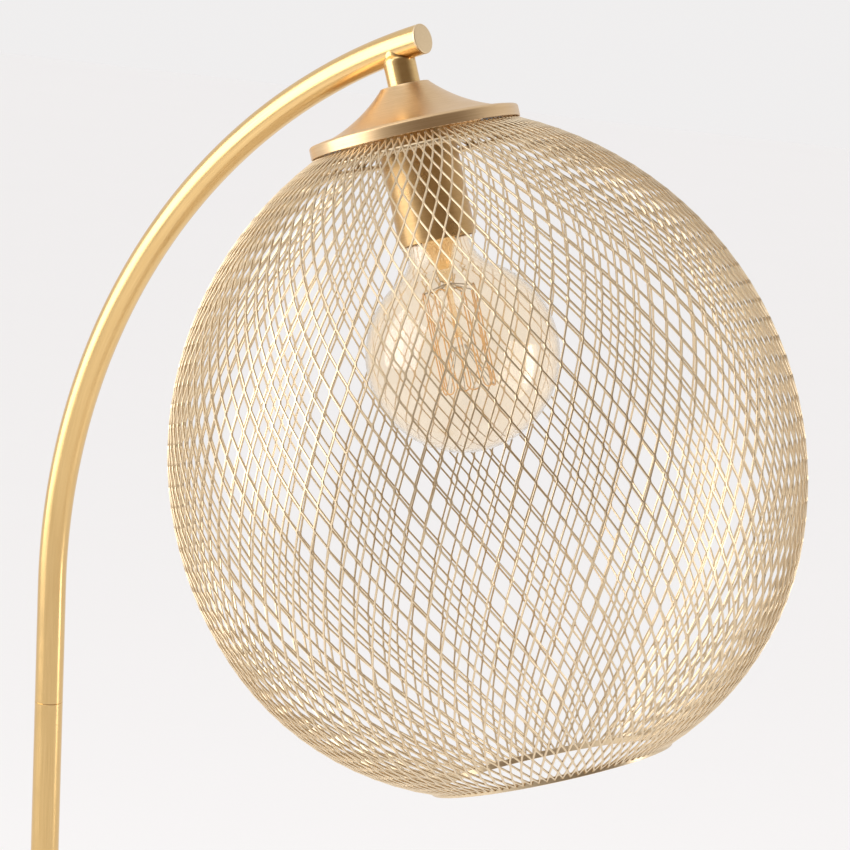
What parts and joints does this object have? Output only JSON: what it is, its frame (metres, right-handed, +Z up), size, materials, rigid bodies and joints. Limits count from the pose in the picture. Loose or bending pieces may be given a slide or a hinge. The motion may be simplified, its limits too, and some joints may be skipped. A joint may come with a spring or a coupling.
{
  "type": "floor lamp",
  "caption": "Floor lamp with a bent tube arm on a round weighted base and a wire mesh globe shade round a screw-in bulb.",
  "frame": {"origin": "on the floor under the pole's axis, at the centre of the base pad's underside", "axes": "+Z up along the pole, +X from the pole towards the shade"},
  "size_m": [0.5681, 0.3102, 1.4948],
  "materials": {
    "brushed_brass": "satin brushed",
    "end_brass": "dull",
    "champagne_paint": "satin",
    "zinc_steel": "satin",
    "felt": "matt",
    "iron": "rough",
    "black_plastic": "matt",
    "lead_sleeve": "matt",
    "brown_sleeve": "matt",
    "blue_sleeve": "matt",
    "white_insulator": "matt",
    "contact_brass": "bright",
    "solder": "satin",
    "cap_brass": "bright",
    "dark_glass": "gloss",
    "amber_glass": "clear amber",
    "stem_glass": "clear",
    "filament": "matt",
    "filament_wire": "satin"
  },
  "bodies": {
    "stand": {"base_pad": "felt", "base_plate": "zinc_steel", "base_cover": "brushed_brass", "base_weight": "iron", "base_washer": "zinc_steel", "base_nut": "zinc_steel", "cord_inlet_bush": "black_plastic", "cord_clamp": "black_plastic", "clamp_screw_left": "zinc_steel", "clamp_screw_right": "zinc_steel", "pole_foot": "brushed_brass", "foot_stud": "zinc_steel", "lower_pole_foot_bush": "zinc_steel", "lower_pole": "brushed_brass", "lower_pole_top_bush": "zinc_steel", "pole_stud": "zinc_steel", "upper_pole_foot_bush": "zinc_steel", "upper_pole": "brushed_brass", "upper_pole_top_bush": "zinc_steel", "arm_stud": "zinc_steel", "arm_foot_bush": "zinc_steel", "arm_tube": "brushed_brass", "arm_end_cap": "end_brass", "nipple": "zinc_steel", "collar": "brushed_brass", "saddle_washer": "zinc_steel", "head_nut": "zinc_steel", "head_washer": "zinc_steel", "inner_lead": "lead_sleeve"},
    "head": {"canopy": "brushed_brass", "cage_carrier": "zinc_steel", "spacer_sleeve": "zinc_steel", "holder_cover": "brushed_brass", "holder_insulator": "white_insulator", "screw_shell": "contact_brass", "centre_contact": "contact_brass", "live_terminal": "zinc_steel", "neutral_terminal": "zinc_steel", "live_wire": "brown_sleeve", "neutral_wire": "blue_sleeve", "cage_strands_left": "champagne_paint", "cage_strands_right": "champagne_paint", "upper_hoop": "champagne_paint", "mouth_ring": "champagne_paint"},
    "bulb_tip": {"bulb_pip": "solder"},
    "bulb": {"bulb_glass": "amber_glass", "bulb_cap": "cap_brass", "bulb_insulator": "dark_glass", "bulb_stem": "stem_glass", "bulb_filament": "filament", "bulb_supports": "filament_wire"}
  },
  "joints": [
    {"name": "head_swivel", "type": "hinge", "parent": "stand", "child": "head", "pos_m": [0.21962, 0, 1.43913], "axis": [-0.3074, 0, 0.9516], "range_deg": [-170, 170]},
    {"name": "bulb_travel", "type": "slide", "parent": "head", "child": "bulb_tip", "axis": [0.3074, 0, -0.9516], "range_m": [0, 0.02535]},
    {"name": "bulb_turn", "type": "hinge", "parent": "bulb_tip", "child": "bulb", "pos_m": [0.21962, 0, 1.43913], "axis": [0.3074, 0, -0.9516], "range_deg": [0, 2520]}
  ],
  "couplings": [
    {"joint": "bulb_travel", "follows": "bulb_turn", "m_per_rad": 0.00057614}
  ]
}
